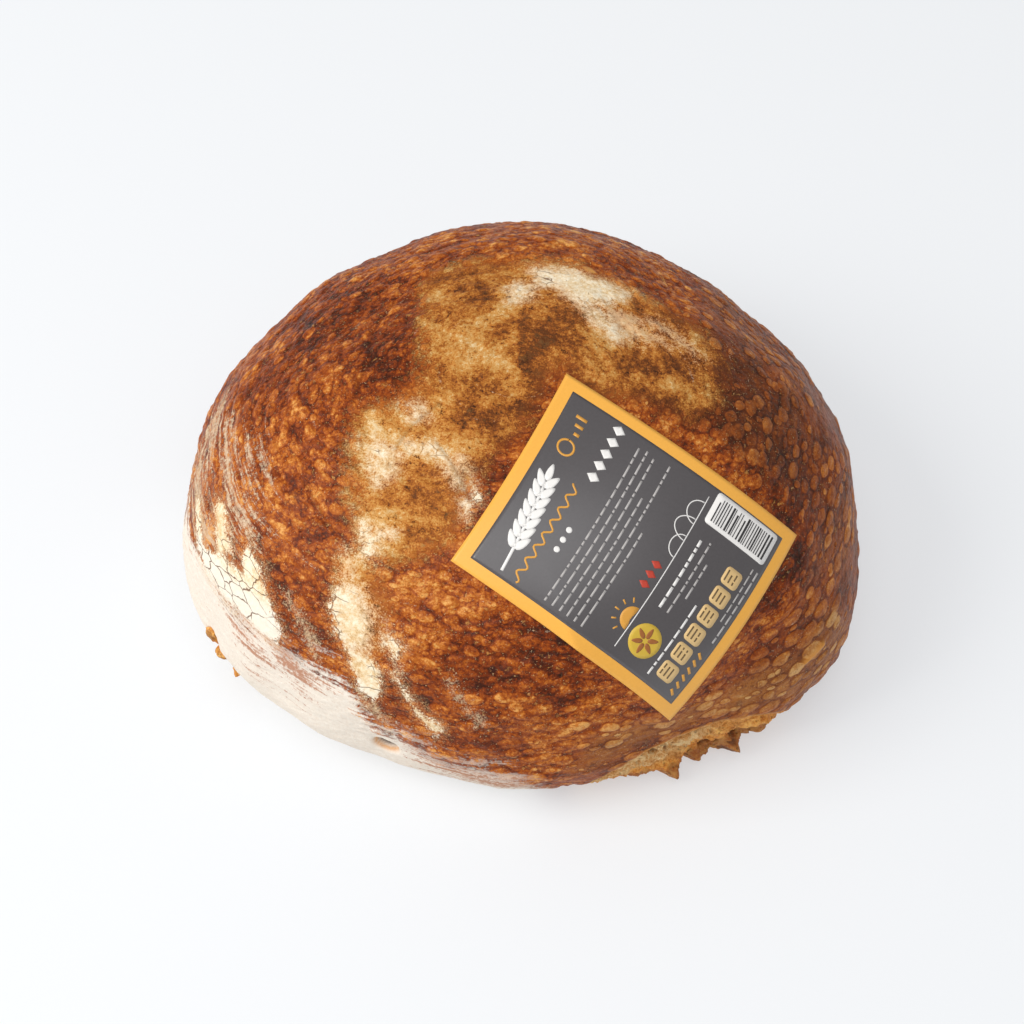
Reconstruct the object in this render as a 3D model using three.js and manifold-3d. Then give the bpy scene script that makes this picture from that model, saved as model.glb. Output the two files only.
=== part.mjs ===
// A round sourdough loaf with a paper label stuck to its crust.
// Millimetres, +Z up, +X to the loaf's right. The origin is on the table under the middle of the loaf.
import * as THREE from "three";
import { mergeVertices } from "three/addons/utils/BufferGeometryUtils.js";
import Module from "manifold-3d";

// The loaf's plain form
const HALF_WIDTH = 96;
const HEIGHT = 92.5;
const BELLY = 23.5; // height of the widest level
const BASE_SHARE = 0.78; // radius of the flat base, as a share of the belly's
const ROUNDNESS = 2.3; // exponent of the dome's profile, where 2 would be an ellipse
const CROWN_LEAN = new THREE.Vector2(-2, -5); // how far the crown stands off the belly's middle
const MIDDLE = new THREE.Vector2(1, -1.3); // the belly's middle, which puts the box's over the origin
const OUTLINE_WAVES = [
  { count: 2, share: 0.03, crest: -8 },
  { count: 3, share: 0.021, crest: -33 },
  { count: 4, share: 0.016, crest: 4 },
];
// Places low on the side where the dough spread or was held back: bearing and width in degrees, depth in mm
const LOW_LOBES = [
  { bearing: 0, width: 14, out: -2.6 },
  { bearing: 150, width: 12, out: -1.4 },
  { bearing: 168, width: 9, out: 1.2 },
  { bearing: -28, width: 13, out: 6.3 },
  { bearing: -45, width: 8, out: 4 },
  { bearing: -58, width: 12, out: -1.2 },
  { bearing: -92, width: 12, out: 2.7 },
  { bearing: -112, width: 10, out: 0.9 },
  { bearing: -128, width: 10, out: 2.9 },
  { bearing: -143, width: 9, out: 5 },
  { bearing: -157, width: 9, out: 2.4 },
  { bearing: -173, width: 12, out: 0.8 },
];
const LOBE_FADE = 30; // height over which a lobe fades out
const CRUST_DETAIL = 20; // subdivisions of an icosahedron's edge

// Swells of the crust: sine waves through the loaf, each shorter and lower than the one before
const SWELLS = { count: 7, longest: 84, shorter: 0.8, height: 0.4, lower: 0.9 };
const GOLDEN_ANGLE = Math.PI * (3 - Math.sqrt(5));

// The tear low at the front right, where the crumb burst out under a lip of crust: bearings in degrees, the lip's
// height, how far the crumb lies in under it, and how far out it spreads at the table
const TEAR = { from: -81, to: -38, lip: 26, under: 4.5, spread: 12, spreadHeight: 18 };
// Ragged flakes along the tear's foot
const FLAKES = { count: 10, reach: 6, width: 14, thickness: 3.6, root: 6, seed: 11 };
// Small flaps of crust at the left side's foot: bearing in degrees, height, reach and width in mm
const FLAPS = [
  { bearing: 202, height: 9, reach: 4, width: 8 },
  { bearing: 209, height: 5, reach: 5.5, width: 7 },
];
// Burst bubbles low on the side: bearing in degrees, height, width, tallness and depth in mm
const POCKETS = [
  { bearing: 244, height: 19, width: 6, tall: 3, depth: 5 },
  { bearing: 205, height: 14, width: 4, tall: 6, depth: 4 },
];

// The label: its size, where its middle sits in plan, and how it lies
const LABEL = { width: 62, height: 76.2, at: new THREE.Vector2(30.6, -60), lean: 41.7, towards: -70.7, reading: 51 };
const PAPER = 0.4;
const GLUE_GAP = 0.35;
const LABEL_STEPS = { across: 18, along: 22 };
const SMOOTH_BORDER = 7; // the crust smooths out over this distance towards the label
const FOLD = { from: [-36, -9], to: [-14, 24], width: 7, height: 1.5 }; // a crease in the paper, in label millimetres

const radians = THREE.MathUtils.degToRad;
const sq = (x) => x * x;

// The random draws behind the flakes
function seeded(seed) {
  let state = seed;
  return () => {
    state = (state * 1664525 + 1013904223) % 4294967296;
    return state / 4294967296;
  };
}

// A bell of height 1 at a bearing, with bearings in radians and its width in degrees
function bellAt(bearing, middle, width) {
  const turn = 2 * Math.PI;
  const off = ((((bearing - radians(middle) + Math.PI) % turn) + turn) % turn) - Math.PI;
  return Math.exp(-sq(off / radians(width)));
}

// The plain outline's radius at a bearing and a height
function outlineRadius(bearing, z) {
  const waves = OUTLINE_WAVES.reduce((sum, w) => sum + w.share * Math.cos(w.count * (bearing - radians(w.crest))), 1);
  const low = Math.exp(-sq(Math.max(z - BELLY / 2, 0) / LOBE_FADE));
  const lobes = LOW_LOBES.reduce((sum, l) => sum + l.out * bellAt(bearing, l.bearing, l.width), 0);
  return HALF_WIDTH * waves + lobes * low;
}

// The plain form's point at a bearing and a slope from the crown: 0 there, 90 at the belly, 180 at the base's edge
function formPoint(bearing, slope) {
  const turned = radians(slope);
  const across = Math.sin(turned);
  const up = Math.cos(turned);
  const onDome = slope <= 90;
  const share = onDome ? Math.pow(Math.abs(up), 2 / ROUNDNESS) : 0;
  const z = onDome ? BELLY + (HEIGHT - BELLY) * share : BELLY * (1 + up);
  const radius = outlineRadius(bearing, z);
  const r = radius * (onDome ? Math.pow(Math.abs(across), 2 / ROUNDNESS) : 1 - (1 - BASE_SHARE) * (1 - across));
  return new THREE.Vector3(
    r * Math.cos(bearing) + CROWN_LEAN.x * share + MIDDLE.x,
    r * Math.sin(bearing) + CROWN_LEAN.y * share + MIDDLE.y,
    z,
  );
}

// Above zero outside the plain dome, below zero inside it; for points above the belly
function outsideDome(p) {
  const share = (p.z - BELLY) / (HEIGHT - BELLY);
  const x = p.x - MIDDLE.x - CROWN_LEAN.x * share;
  const y = p.y - MIDDLE.y - CROWN_LEAN.y * share;
  const radius = outlineRadius(Math.atan2(y, x), p.z);
  return Math.pow(Math.hypot(x, y) / radius, ROUNDNESS) + Math.pow(Math.max(share, 0), ROUNDNESS) - 1;
}

function domeNormal(p) {
  const step = 0.1;
  const slopeAlong = (axis) => {
    const ahead = p.clone().addScaledVector(axis, step);
    const behind = p.clone().addScaledVector(axis, -step);
    return outsideDome(ahead) - outsideDome(behind);
  };
  return new THREE.Vector3(
    slopeAlong(new THREE.Vector3(1, 0, 0)),
    slopeAlong(new THREE.Vector3(0, 1, 0)),
    slopeAlong(new THREE.Vector3(0, 0, 1)),
  ).normalize();
}

// Where the line from a point along a direction crosses the dome
function dropOnDome(from, along, reach = 60) {
  let inside = -reach;
  let outside = reach;
  for (let i = 0; i < 40; i++) {
    const middle = (inside + outside) / 2;
    if (outsideDome(from.clone().addScaledVector(along, middle)) < 0) inside = middle;
    else outside = middle;
  }
  return from.clone().addScaledVector(along, inside);
}

// The label's own axes: out of the paper, along its reading direction, and up it
const labelOut = new THREE.Vector3(
  Math.sin(radians(LABEL.lean)) * Math.cos(radians(LABEL.towards)),
  Math.sin(radians(LABEL.lean)) * Math.sin(radians(LABEL.towards)),
  Math.cos(radians(LABEL.lean)),
);
const labelAlong = new THREE.Vector3(Math.cos(radians(LABEL.reading)), Math.sin(radians(LABEL.reading)), 0);
labelAlong.setZ(-labelAlong.dot(labelOut) / labelOut.z).normalize();
const labelUp = new THREE.Vector3().crossVectors(labelOut, labelAlong);
const labelMiddle = dropOnDome(new THREE.Vector3(LABEL.at.x, LABEL.at.y, HEIGHT * 0.8), new THREE.Vector3(0, 0, 1));

// How far outside the label's edge a point of the crust is; under zero below the paper
function beyondLabel(p) {
  const off = p.clone().sub(labelMiddle);
  if (off.dot(labelOut) < -HEIGHT / 2) return HEIGHT;
  const across = Math.abs(off.dot(labelAlong)) - LABEL.width / 2;
  const along = Math.abs(off.dot(labelUp)) - LABEL.height / 2;
  return Math.max(across, along);
}

// The height of the crease's ridge at a place on the label
function foldHeight(u, v) {
  const [fromU, fromV] = FOLD.from;
  const run = new THREE.Vector2(FOLD.to[0] - fromU, FOLD.to[1] - fromV);
  const length = run.length();
  run.divideScalar(length);
  const along = (u - fromU) * run.x + (v - fromV) * run.y;
  const off = (u - fromU) * run.y - (v - fromV) * run.x;
  const fade = THREE.MathUtils.smoothstep(length - along, 0, length);
  return FOLD.height * fade * Math.exp(-sq(off / FOLD.width));
}

// A point of the label, in its own millimetres from its middle, lifted off the crust
function labelPoint(u, v, lift) {
  const flat = labelMiddle.clone().addScaledVector(labelAlong, u).addScaledVector(labelUp, v);
  const onCrust = dropOnDome(flat, labelOut);
  return onCrust.addScaledVector(domeNormal(onCrust), lift + foldHeight(u, v));
}

// How far the crust stands off the plain form in its gentle swells
function swell(p) {
  let sum = 0;
  let length = SWELLS.longest;
  let height = SWELLS.height;
  for (let i = 0; i < SWELLS.count; i++) {
    const rise = 1 - (2 * i + 1) / SWELLS.count;
    const flat = Math.sqrt(1 - rise * rise);
    const turn = i * GOLDEN_ANGLE;
    const along = p.x * flat * Math.cos(turn) + p.y * flat * Math.sin(turn) + p.z * rise;
    sum += height * Math.sin((2 * Math.PI * along) / length + turn);
    length *= SWELLS.shorter;
    height *= SWELLS.lower;
  }
  return sum;
}

// How far the tear puts the side out: in under its lip, and out at its foot
function tearOut(bearing, z) {
  const share = (THREE.MathUtils.radToDeg(bearing) - TEAR.from) / (TEAR.to - TEAR.from);
  if (share <= 0 || share >= 1) return 0;
  const open = Math.sqrt(Math.sin(Math.PI * share));
  const lip = TEAR.lip * open;
  const under = TEAR.under * THREE.MathUtils.smoothstep(lip - z, 0, 3);
  const foot = TEAR.spread * Math.pow(Math.max(1 - z / TEAR.spreadHeight, 0), 1.6);
  return open * (foot - under);
}

// A point of the real crust: the plain form with its swells and the tear
function crustPoint(bearing, slope) {
  const p = formPoint(bearing, slope);
  const outwards = new THREE.Vector3(p.x - MIDDLE.x, p.y - MIDDLE.y, 0).normalize();
  const rounding = radians(Math.min(slope, 90));
  outwards.multiplyScalar(Math.sin(rounding)).setZ(Math.cos(rounding)).normalize();
  const sides = 1 - THREE.MathUtils.smoothstep(slope, 120, 170);
  const smooth = THREE.MathUtils.smoothstep(beyondLabel(p), 0, SMOOTH_BORDER);
  p.addScaledVector(outwards, swell(p) * sides * smooth);
  const torn = tearOut(bearing, p.z);
  p.x += torn * Math.cos(bearing);
  p.y += torn * Math.sin(bearing);
  return p;
}

// Share of the way from crown to the base's middle where the belly and the base's edge lie
const BELLY_AT = 0.56;
const BASE_AT = 0.7;

// The crust as a ball of even triangles, each vertex moved to its place on the loaf
function crustGeometry() {
  const ball = new THREE.IcosahedronGeometry(1, CRUST_DETAIL);
  ball.deleteAttribute("normal");
  ball.deleteAttribute("uv");
  const geometry = mergeVertices(ball, 1e-5);
  const position = geometry.attributes.position;
  for (let i = 0; i < position.count; i++) {
    const d = new THREE.Vector3().fromBufferAttribute(position, i).normalize();
    const bearing = Math.atan2(d.y, d.x);
    const way = Math.acos(THREE.MathUtils.clamp(d.z, -1, 1)) / Math.PI;
    let p;
    if (way < BELLY_AT) p = crustPoint(bearing, (90 * way) / BELLY_AT);
    else if (way < BASE_AT) p = crustPoint(bearing, 90 + (90 * (way - BELLY_AT)) / (BASE_AT - BELLY_AT));
    else {
      const edge = crustPoint(bearing, 180);
      const share = (1 - way) / (1 - BASE_AT);
      p = new THREE.Vector3(MIDDLE.x, MIDDLE.y, 0).lerp(edge.setZ(0), share);
    }
    position.setXYZ(i, p.x, p.y, Math.max(p.z, 0));
  }
  return geometry;
}

// The side's point at a bearing and a height below the belly, for what is fixed to it low down
function sidePoint(degrees, z) {
  const slope = THREE.MathUtils.radToDeg(Math.acos(THREE.MathUtils.clamp(z / BELLY - 1, -1, 0)));
  return crustPoint(radians(degrees), slope);
}

// A closed geometry as a solid, moved by a matrix
function solidOf(wasm, geometry, matrix = new THREE.Matrix4()) {
  const plain = geometry.clone().applyMatrix4(matrix);
  plain.deleteAttribute("normal");
  plain.deleteAttribute("uv");
  const merged = mergeVertices(plain, 1e-4);
  const mesh = new wasm.Mesh({
    numProp: 3,
    vertProperties: new Float32Array(merged.attributes.position.array),
    triVerts: new Uint32Array(merged.index.array),
  });
  return new wasm.Manifold(mesh);
}

function geometryOf(solid) {
  const mesh = solid.getMesh();
  const geometry = new THREE.BufferGeometry();
  geometry.setAttribute("position", new THREE.BufferAttribute(mesh.vertProperties, 3));
  geometry.setIndex(new THREE.BufferAttribute(mesh.triVerts, 1));
  geometry.computeVertexNormals();
  return geometry;
}

// A flat ragged flake that stands out of the side, its root inside the loaf
function flakeSolid(wasm, { bearing, height, reach, width, thickness, roll, droop, twist }) {
  const flake = new THREE.CylinderGeometry(0.12 * width, 0.5 * width, reach + FLAKES.root, 7);
  flake.rotateZ(-Math.PI / 2);
  flake.scale(1, 1, thickness / width);
  flake.rotateX(radians(roll));
  flake.translate((reach - FLAKES.root) / 2, 0, 0);
  const place = sidePoint(bearing, height);
  const matrix = new THREE.Matrix4()
    .makeTranslation(place.x, place.y, height)
    .multiply(new THREE.Matrix4().makeRotationZ(radians(bearing + twist)))
    .multiply(new THREE.Matrix4().makeRotationY(radians(droop)));
  return solidOf(wasm, flake, matrix);
}

// A rounded hollow in the side, where a bubble burst
function pocketSolid(wasm, { bearing, height, width, tall, depth }) {
  const ball = new THREE.SphereGeometry(0.5, 10, 8);
  ball.scale(depth * 2, width, tall);
  const place = sidePoint(bearing, height);
  const matrix = new THREE.Matrix4()
    .makeTranslation(place.x, place.y, height)
    .multiply(new THREE.Matrix4().makeRotationZ(radians(bearing)));
  return solidOf(wasm, ball, matrix);
}

function loafGeometry(wasm) {
  let loaf = solidOf(wasm, crustGeometry());
  for (const pocket of POCKETS) loaf = loaf.subtract(pocketSolid(wasm, pocket));
  const draw = seeded(FLAKES.seed);
  for (let i = 0; i < FLAKES.count; i++) {
    const share = (i + 0.5 + 0.5 * (draw() - 0.5)) / FLAKES.count;
    const flake = {
      bearing: TEAR.from + (TEAR.to - TEAR.from) * share,
      height: 2 + 4.5 * draw(),
      reach: FLAKES.reach * (0.45 + 0.55 * draw()) * Math.sin(Math.PI * share),
      width: FLAKES.width * (0.7 + 0.8 * draw()),
      thickness: FLAKES.thickness * (0.8 + 0.4 * draw()),
      roll: 50 * (draw() - 0.5),
      droop: 12 * draw() - 4,
      twist: 45 * draw(),
    };
    loaf = loaf.add(flakeSolid(wasm, flake));
  }
  const lie = { thickness: 2.4, roll: 20, droop: 10, twist: -15 };
  for (const flap of FLAPS) loaf = loaf.add(flakeSolid(wasm, { ...flap, ...lie }));
  const table = new THREE.BoxGeometry(4 * HALF_WIDTH, 4 * HALF_WIDTH, 20);
  table.translate(0, 0, -10);
  return geometryOf(loaf.subtract(solidOf(wasm, table)));
}

// The label: a thin curved sheet, the same grid on both faces
function labelGeometry() {
  const { across, along } = LABEL_STEPS;
  const vertices = [];
  for (const lift of [GLUE_GAP, GLUE_GAP + PAPER]) {
    for (let j = 0; j <= along; j++) {
      for (let i = 0; i <= across; i++) {
        const p = labelPoint(LABEL.width * (i / across - 0.5), LABEL.height * (j / along - 0.5), lift);
        vertices.push(p.x, p.y, p.z);
      }
    }
  }
  const row = across + 1;
  const layer = row * (along + 1);
  const faces = [];
  const quad = (a, b, c, d) => faces.push(a, b, c, a, c, d);
  for (let j = 0; j < along; j++) {
    for (let i = 0; i < across; i++) {
      const a = j * row + i;
      faces.push(a, a + row + 1, a + 1, a, a + row, a + row + 1);
      quad(layer + a, layer + a + 1, layer + a + row + 1, layer + a + row);
    }
  }
  for (let i = 0; i < across; i++) {
    quad(i, i + 1, layer + i + 1, layer + i);
    const top = along * row + i;
    quad(top + 1, top, layer + top, layer + top + 1);
  }
  for (let j = 0; j < along; j++) {
    const left = j * row;
    const right = left + across;
    quad(left + row, left, layer + left, layer + left + row);
    quad(right, right + row, layer + right + row, layer + right);
  }
  const geometry = new THREE.BufferGeometry();
  geometry.setAttribute("position", new THREE.Float32BufferAttribute(vertices, 3));
  geometry.setIndex(faces);
  geometry.computeVertexNormals();
  return geometry;
}

const wasm = await Module();
wasm.setup();

const crustMaterial = new THREE.MeshStandardMaterial({ color: 0x8a4a20, roughness: 0.6, metalness: 0 });
const paperMaterial = new THREE.MeshStandardMaterial({ color: 0xe8a83c, roughness: 0.45, metalness: 0 });

const loaf = new THREE.Mesh(loafGeometry(wasm), crustMaterial);
loaf.name = "loaf";
const label = new THREE.Mesh(labelGeometry(), paperMaterial);
label.name = "label";

const group = new THREE.Group();
group.add(loaf, label);
export default group;
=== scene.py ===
"""A round sourdough loaf with a paper label on its crown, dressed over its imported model."""
import math

import bpy
import numpy as np
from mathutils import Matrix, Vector, kdtree, noise


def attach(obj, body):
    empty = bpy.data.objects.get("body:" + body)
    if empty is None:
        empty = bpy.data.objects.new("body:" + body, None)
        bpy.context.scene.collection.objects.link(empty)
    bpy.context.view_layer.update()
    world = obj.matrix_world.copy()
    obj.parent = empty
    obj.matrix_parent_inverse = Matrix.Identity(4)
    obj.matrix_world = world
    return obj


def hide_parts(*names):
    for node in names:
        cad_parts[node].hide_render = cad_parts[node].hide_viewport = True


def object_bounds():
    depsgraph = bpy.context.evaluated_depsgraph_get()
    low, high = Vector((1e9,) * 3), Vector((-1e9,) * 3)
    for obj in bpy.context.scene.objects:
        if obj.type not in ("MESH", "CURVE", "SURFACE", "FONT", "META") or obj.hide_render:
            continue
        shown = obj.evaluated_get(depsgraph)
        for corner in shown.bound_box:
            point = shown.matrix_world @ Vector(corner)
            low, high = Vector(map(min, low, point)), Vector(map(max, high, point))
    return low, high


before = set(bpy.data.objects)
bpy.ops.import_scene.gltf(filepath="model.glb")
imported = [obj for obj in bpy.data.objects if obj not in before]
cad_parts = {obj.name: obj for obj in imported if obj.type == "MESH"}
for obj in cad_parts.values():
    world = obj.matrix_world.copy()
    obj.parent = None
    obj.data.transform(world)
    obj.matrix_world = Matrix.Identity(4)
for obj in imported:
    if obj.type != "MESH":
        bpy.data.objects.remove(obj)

CAD_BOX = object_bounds()
MM = 0.001

# The loaf's plain form in millimetres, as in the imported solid
HALF_WIDTH = 96.0
HEIGHT = 92.5
BELLY = 23.5
BASE_SHARE = 0.78
ROUNDNESS = 2.3
CROWN_LEAN = (-2.0, -5.0)
MIDDLE = (1.0, -1.3)
OUTLINE_WAVES = [(2, 0.030, -8.0), (3, 0.021, -33.0), (4, 0.016, 4.0)]  # count, share, degrees of a crest
LOW_LOBES = [  # bearing and width in degrees, how far out in mm
    (0.0, 14.0, -2.6),
    (150.0, 12.0, -1.4),
    (168.0, 9.0, 1.2),
    (-28.0, 13.0, 6.3),
    (-45.0, 8.0, 4.0),
    (-58.0, 12.0, -1.2),
    (-92.0, 12.0, 2.7),
    (-112.0, 10.0, 0.9),
    (-128.0, 10.0, 2.9),
    (-143.0, 9.0, 5.0),
    (-157.0, 9.0, 2.4),
    (-173.0, 12.0, 0.8),
]
LOBE_FADE = 30.0
SWELLS = {"count": 7, "longest": 84.0, "shorter": 0.8, "height": 0.4, "lower": 0.9}
DROP_REACH = 60.0  # mm searched along a line for the dome
DROP_HALVINGS = 40
GOLDEN_ANGLE = math.pi * (3.0 - math.sqrt(5.0))
TEAR = {"from": -81.0, "to": -38.0, "lip": 26.0, "under": 4.5, "spread": 12.0, "spread_height": 18.0}

# The label in millimetres and degrees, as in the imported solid
LABEL_WIDTH = 62.0
LABEL_HEIGHT = 76.2
LABEL_AT = (30.6, -60.0)
LABEL_LEAN = 41.7
LABEL_TOWARDS = -70.7
LABEL_READING = 51.0
PAPER = 0.4
GLUE_GAP = 0.35
SMOOTH_BORDER = 7.0
FOLD = {"from": (-36.0, -9.0), "to": (-14.0, 24.0), "width": 7.0, "height": 1.5}
CREASE = {"width": 1.5, "height": 0.75}  # the sharp ridge along the fold
BORDER = 3.6  # amber left round the dark field
INK = 0.05
PRINT_SEED = 3
PLATES = (  # each printed plate's name, its ink's name and colour, and its layer on the field
    ("white", "white_ink", "#f1eeea", 1),
    ("amber", "amber_ink", "#dfa040", 1),
    ("grey", "grey_ink", "#b9b4b1", 1),
    ("tan", "tan_ink", "#e3bf83", 1),
    ("red", "red_ink", "#c2402c", 1),
    ("mustard", "mustard_ink", "#d6b23c", 1),
    ("black", "black_ink", "#2a2828", 2),
    ("upper", "brown_ink", "#6d5634", 2),
    ("leaf", "leaf_ink", "#a2622a", 2),
)

# The crust's mesh
CRUST_STEPS = 256  # quads along an edge of the cube that the crust's ball is drawn from
CRUST_SIDES = ("top", "base", "right", "left", "back", "front")
BASE_WEIGHT = 0.1  # how finely the underside is meshed, against the crust
FLOW_GIRTH = 55.0  # mm; marks are drawn out round the loaf beyond this distance from the crown

# The crust's fine relief: noise sizes and heights in mm, and how deep it lies under the plain form
LUMPS = ((15.0, 0.34), (4.6, 0.42))
GRAIN = (1.1, 0.12)
RELIEF_SINK = 0.38
FLOUR_HEIGHT = 0.12
RIDGE_HEIGHT = 0.9
CREASE_DEPTH = 0.4

# Blisters: radii in mm before they are drawn out, how strongly small ones lead, and their spacing in radii
BLISTER_TRIES = 46000
BLISTERS = {"smallest": 0.4, "largest": 2.0, "bias": 3.4, "apart": 1.25}
CALM_BLISTERS = {"smallest": 0.5, "largest": 2.1, "bias": 2.0, "apart": 1.5}  # on the smooth right and front
BLISTER_HEIGHT = 0.38
BLISTER_SEED = 5
BLISTER_PUSH = 0.5  # how far noise bends their outlines, in mm

# The torn crumb: its span in degrees, its mesh, and how far the crust sinks behind it, in mm
CRUMB = {"from": -83.0, "to": -36.0, "across": 330, "down": 60, "sink": 3.6, "share": 0.62, "seed": 4}
CRUMB_RADIUS = 92.0  # mm; turns bearings into places along the strip
CRUMB_BACK = 7.5  # how far behind the side the strip's hidden back lies, in mm
CRUMB_PITS = {"count": 90, "smallest": 0.5, "largest": 1.9, "seed": 8}
# Ragged tips of the skirt at its foot: bearing in degrees, reach in mm, half width in degrees, height in mm
TIPS = [
    (-75.0, 2.4, 5.0, 2.2),
    (-68.5, 4.2, 4.0, 2.4),
    (-62.3, 8.8, 2.5, 1.6),
    (-57.0, 3.4, 3.4, 4.0),
    (-51.3, 6.8, 2.0, 3.6),
    (-46.0, 2.8, 3.4, 6.4),
]
# Hollows where bubbles burst: bearing in degrees, height, width, tallness and depth in mm
HOLLOWS = [(245.0, 22.0, 3.2, 2.4, 5.0), (206.0, 17.0, 2.6, 4.2, 2.6), (211.0, 10.0, 2.2, 2.6, 2.0)]
# Torn curls of crust beside them: bearing in degrees, height, reach, width and tallness in mm
CURLS = [(205.0, 18.5, 3.2, 3.0, 4.8), (207.6, 13.2, 3.2, 3.0, 2.8), (210.6, 9.8, 3.0, 2.2, 2.8)]
CURL_SINK = 0.85  # how much of a curl's reach lies inside the crust

# Places on the crust lie on a flat map of it: millimetres along the crust from the crown, at their bearing
FLOUR_PATCHES = [
    [(4, 43), (13, 44), (25, 40), (33, 35), (32, 31), (25, 28), (20, 25), (16, 29), (11, 35), (5, 35)],
    [(-3, 32), (0, 36), (4, 35), (3, 28), (-2, 27)],
    [(20, 25), (24, 26), (27, 20), (30, 15), (28, 12), (25, 16), (21, 21)],
    [(-29, -11), (-26, -12), (-26, -16), (-29, -16)],
    [(-39, -22), (-36, -24), (-34, -27), (-35, -33), (-40, -36), (-41, -31)],
    [(-31, -24), (-24, -26), (-19, -33), (-16, -41), (-18, -39), (-21, -32), (-25, -28), (-31, -27)],
    [(-17, -31), (-16, -33), (-11, -45), (-12, -45)],
    [(-16, -45), (-14, -46), (-15, -51), (-16, -49)],
    [(-45, -48), (-37, -53), (-41, -55), (-43, -59), (-45, -57), (-46, -53)],
    [(-80, -43), (-78, -52), (-78, -68), (-78, -75), (-82, -76), (-90, -68), (-99, -57), (-105, -42),
     (-104, -36), (-95, -42), (-89, -48), (-86, -51)],
    [(-104, -19), (-100, -21), (-101, -39), (-105, -37)],
    [(-91, -25), (-88, -28), (-88, -44), (-95, -42)],
    [(-55, -66), (-50, -65), (-47, -73), (-47, -81), (-51, -85), (-57, -85), (-59, -79), (-58, -69)],
    [(-56, -85), (-49, -87), (-47, -92), (-48, -99), (-52, -103), (-55, -97), (-57, -91)],
    [(-43, -82), (-39, -84), (-36, -87), (-38, -89), (-41, -89), (-43, -85)],
    [(-41, -95), (-38, -103), (-35, -109), (-28, -114), (-32, -117), (-37, -110), (-40, -103)],
]
FEATHER_PATCHES = [  # thinner pale flour
    [(23, 30), (31, 28), (36, 23), (41, 17), (43, 12), (38, 13), (32, 13), (26, 18), (24, 24)],
    [(-51, -53), (-49, -55), (-47, -61), (-50, -65), (-54, -66), (-53, -60)],
    [(-23, -97), (-18, -106), (-13, -112), (-14, -114), (-19, -108), (-24, -99)],
    [(-71, -63), (-67, -75), (-67, -85), (-70, -85), (-70, -76), (-73, -63)],
    [(-56, -99), (-51, -105), (-48, -111), (-51, -114), (-54, -108), (-59, -101)],
    [(38, 26), (46, 20), (52, 11), (49, 8), (43, 17), (37, 22)],
    [(-46, -66), (-41, -79), (-38, -95), (-41, -96), (-44, -80), (-48, -67)],
]
DUST_PATCHES = [
    [(-28, 44), (-12, 49), (18, 47), (48, 30), (57, 12), (48, -14), (16, -9), (12, 0), (3, -19), (-12, -40),
     (-15, -51), (-20, -58), (-35, -61), (-45, -57), (-46, -40), (-42, -12), (-30, -10), (-24, 2), (-27, 21)],
    [(-54, -57), (-46, -56), (-38, -73), (-40, -85), (-54, -92), (-58, -80)],
]
FLANK_PATCHES = [
    [(-148, 54), (-140, 25), (-130, 0), (-118, -20), (-114, -32), (-106, -43), (-101, -53), (-95, -61),
     (-88, -68), (-82, -74), (-76, -82), (-71, -88), (-66, -94), (-62, -103), (-61, -112), (-59, -119),
     (-49, -118), (-40, -122), (-31, -127), (-17, -131), (-2, -136), (6, -150), (4, -172), (-45, -172),
     (-95, -147), (-132, -112), (-160, -62), (-170, -20), (-172, 40), (-160, 60)],
]
SCRATCHED_PATCHES = [  # where the flank's flour is mostly rubbed off
    [(-87, -73), (-79, -79), (-77, -86), (-73, -95), (-81, -93), (-86, -84)],
    [(-104, -60), (-95, -65), (-89, -74), (-90, -83), (-97, -81), (-102, -69)],
    [(-45, -122), (-20, -132), (-2, -138), (0, -146), (-24, -142), (-46, -131)],
]
STREAK_PATCHES = [
    [(-118, 2), (-98, 14), (-83, -1), (-72, -23), (-78, -44), (-103, -38), (-116, -22)],
]
DARK_PATCHES = [
    [(-68, 22), (-60, 50), (-48, 63), (-39, 41), (-44, 34), (-49, 21), (-57, 15)],
    [(-40, 33), (-28, 25), (-27, 9), (-31, -3), (-42, -4), (-46, 10), (-44, 22)],
    [(-5, -19), (11, -3), (6, -26), (-5, -45), (-14, -54), (-17, -42)],
    [(47, 0), (66, 24), (79, 4), (80, -20), (78, -43), (61, -30), (35, -9)],
]
SMOOTH_PATCHES = [
    [(23, -116), (55, -107), (95, -74), (101, -55), (122, -54), (110, -87), (66, -109), (37, -127),
     (14, -138)],
]
EMBER_PATCHES = [
    [(-36, -73), (-14, -63), (11, -85), (25, -103), (13, -127), (-20, -120), (-35, -104)],
    [(-78, -31), (-79, -3), (-62, 4), (-52, -12), (-54, -40), (-58, -52), (-70, -44)],
]
# The right side: painted shade there makes the crust a little darker and cooler, and its blisters calmer
SHADE_PATCHES = [
    [(30, -5), (50, 30), (60, 60), (60, 110), (150, 110), (170, 0), (160, -90), (90, -140), (20, -140),
     (30, -112), (70, -95), (85, -60), (82, -35)],
]
ZONE_DEPTH = 12.0  # mm inside or outside a zone's outline at which its attribute ends
ZONES = (
    ("flour", FLOUR_PATCHES),
    ("feather", FEATHER_PATCHES),
    ("dust", DUST_PATCHES),
    ("flank", FLANK_PATCHES),
    ("scratched", SCRATCHED_PATCHES),
    ("streaks", STREAK_PATCHES),
    ("dark", DARK_PATCHES),
    ("plain", SMOOTH_PATCHES),
    ("ember", EMBER_PATCHES),
    ("shade", SHADE_PATCHES),
)
CREASES = [  # lines pressed into the crust
    [(-34, -25), (-29, -18), (-21, -11)],
    [(-23, -25), (-18, -35), (-14, -45)],
    [(-44, -8), (-41, 6), (-43, 20), (-38, 34)],
    [(-60, -30), (-56, -44), (-49, -54)],
]
RIDGES = [[(97, -77), (100, -73), (102, -69)]]  # torn seams that stand up


def smoothstep(x, low, high):
    t = np.clip((x - low) / (high - low), 0.0, 1.0)
    return t * t * (3.0 - 2.0 * t)


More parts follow.
